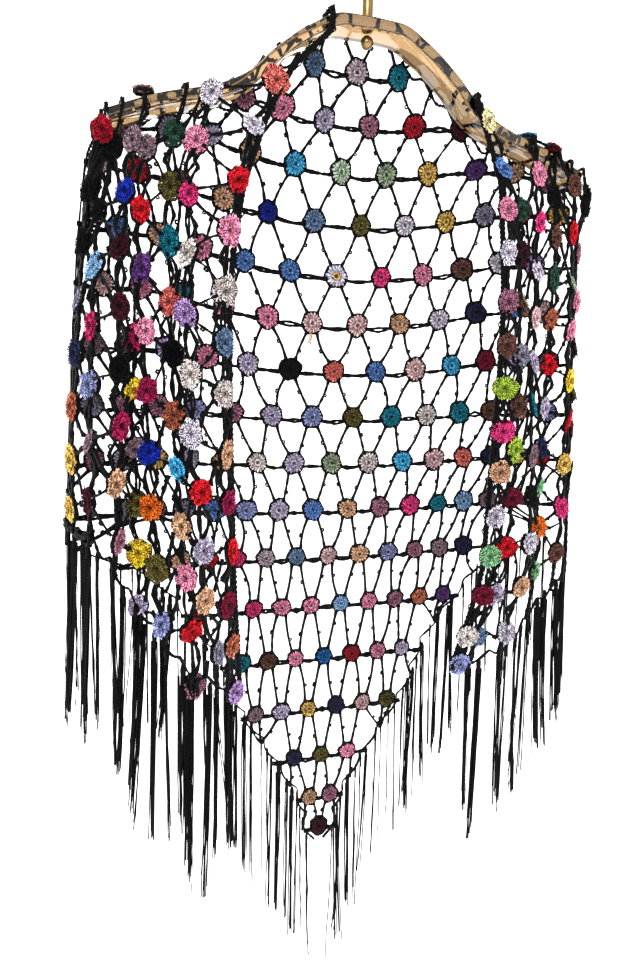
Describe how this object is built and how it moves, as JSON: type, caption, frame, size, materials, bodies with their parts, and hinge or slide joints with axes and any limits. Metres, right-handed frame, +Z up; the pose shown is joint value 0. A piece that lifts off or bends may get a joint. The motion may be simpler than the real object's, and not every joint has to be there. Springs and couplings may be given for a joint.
{
  "type": "crochet shawl on hanger",
  "caption": "Triangular open-net crochet shawl of many-coloured rosettes with black edging and fringe, hung on a clear bent-strip hanger with a brass hook.",
  "frame": {"origin": "inside of the hook's bend, at the top, where it hangs on a rail", "axes": "+Z up, +X to the wearer's left hand side as seen from the front (picture right), +Y to the back of the shawl"},
  "size_m": [0.4974, 0.1414, 1.0133],
  "materials": {
    "black_net_yarn": "matte crochet net",
    "black_edge_band": "matte worked band",
    "black_fringe_yarn": "matte loose thread",
    "clear_acrylic": "clear polished",
    "polished_brass": "polished"
  },
  "bodies": {
    "root": {"shawl_back": "black_net_yarn", "front_left": "black_net_yarn", "front_right": "black_net_yarn", "edge_band_left": "black_edge_band", "edge_band_right": "black_edge_band", "fringe_front_left": "black_fringe_yarn", "fringe_front_right": "black_fringe_yarn", "fringe_back_left": "black_fringe_yarn", "fringe_back_right": "black_fringe_yarn", "hanger_arm": "clear_acrylic", "hook_collar": "polished_brass", "hook_wire": "polished_brass", "hook_nut": "polished_brass"}
  },
  "joints": []
}
